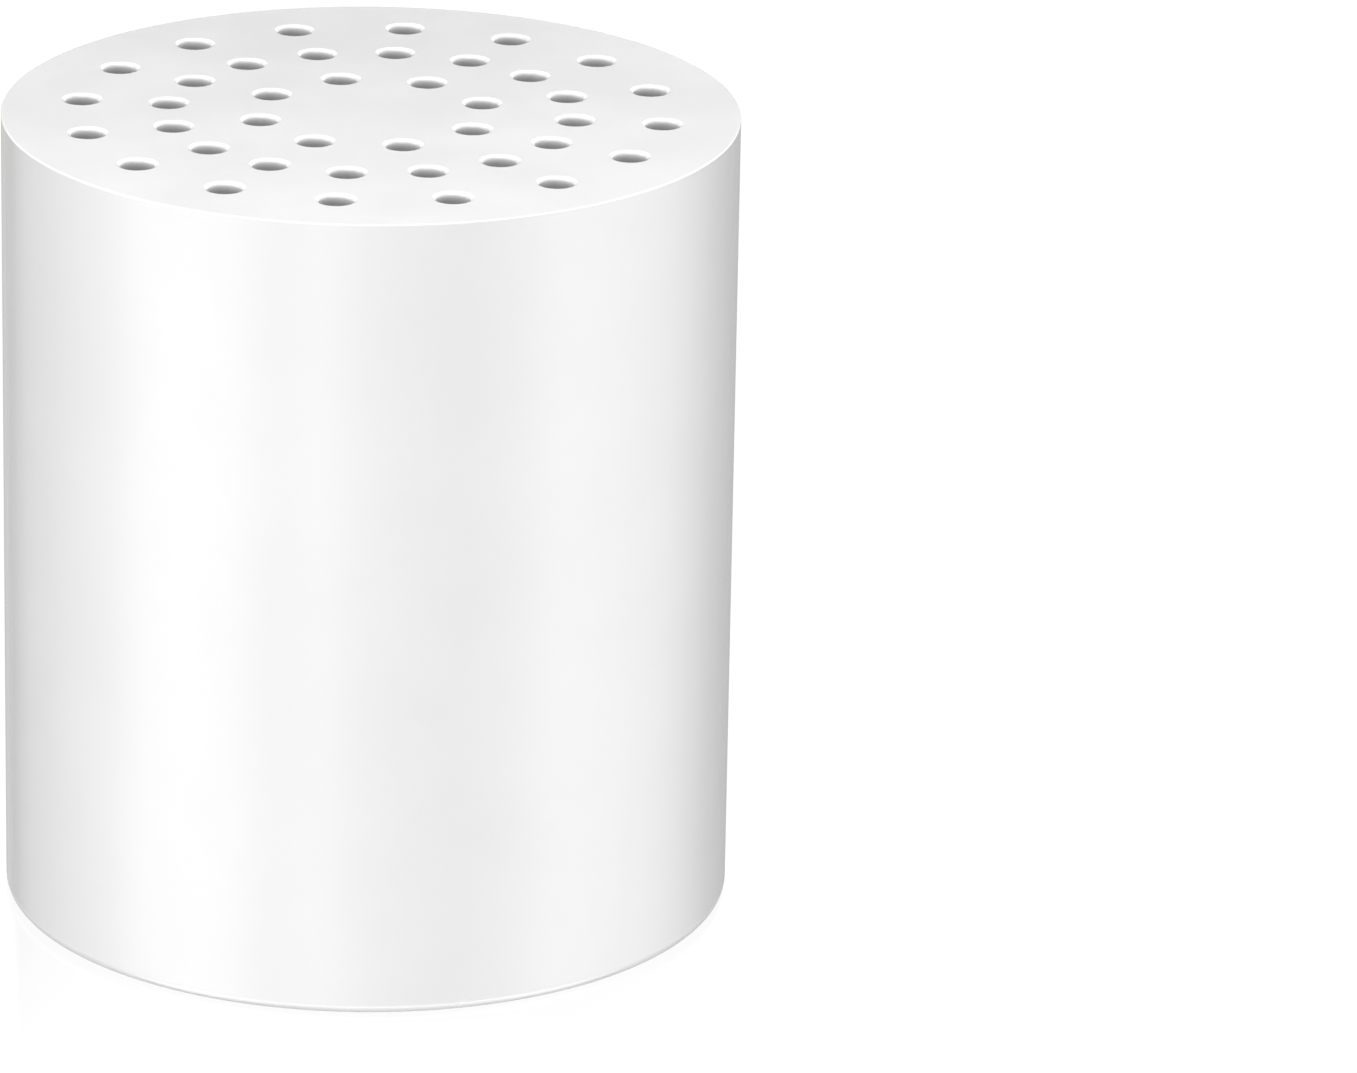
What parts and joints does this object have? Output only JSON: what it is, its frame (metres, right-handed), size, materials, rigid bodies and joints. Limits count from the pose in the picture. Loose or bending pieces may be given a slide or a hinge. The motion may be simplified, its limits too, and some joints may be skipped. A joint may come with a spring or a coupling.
{
  "type": "inline water filter cartridge",
  "caption": "White drum cartridge of an inline water filter: perforated end plate, flush closure ring with a set-back woven screen, layered media inside.",
  "frame": {"origin": "centre of the closure ring's sealing face, on the drum's axis", "axes": "+Z along the drum's axis, from the screen end to the perforated end; +X and +Y run along the arms of the support cross"},
  "size_m": [0.07, 0.07, 0.078],
  "materials": {
    "white_housing": "polished injection-moulded white plastic, glossy, faintly uneven",
    "white_ring": "injection-moulded white plastic, satin sealing face",
    "white_cross": "as-moulded white plastic",
    "stainless_mesh": "plain-woven fine stainless wire, cut edge",
    "stainless_disc": "fine stainless divider disc",
    "white_felt": "needled white polypropylene felt",
    "calcium_sulfite": "off-white granules",
    "copper_zinc": "brassy redox-alloy granules",
    "coconut_carbon": "black crushed activated-carbon granules",
    "tourmaline_ceramic": "dark fired ceramic balls, matt",
    "mineral_ceramic": "tan fired ceramic balls, matt",
    "alkaline_ceramic": "off-white fired ceramic balls, matt",
    "zeolite": "pale angular granules"
  },
  "bodies": {
    "root": {"housing_cup": "white_housing", "closure_ring": "white_ring", "end_screen": "stainless_mesh", "screen_support_cross": "white_cross", "sediment_pad": "white_felt", "sediment_divider_screen": "stainless_disc", "calcium_sulfite_bed": "calcium_sulfite", "sulfite_divider_felt": "white_felt", "copper_zinc_bed": "copper_zinc", "copper_zinc_divider_screen": "stainless_disc", "coconut_carbon_bed": "coconut_carbon", "carbon_divider_felt": "white_felt", "tourmaline_balls": "tourmaline_ceramic", "lower_ball_screen": "stainless_disc", "mineral_balls": "mineral_ceramic", "middle_ball_screen": "stainless_disc", "alkaline_balls": "alkaline_ceramic", "upper_ball_screen": "stainless_disc", "zeolite_bed": "zeolite", "polishing_pad": "white_felt", "hole_screen": "stainless_mesh"}
  },
  "joints": []
}
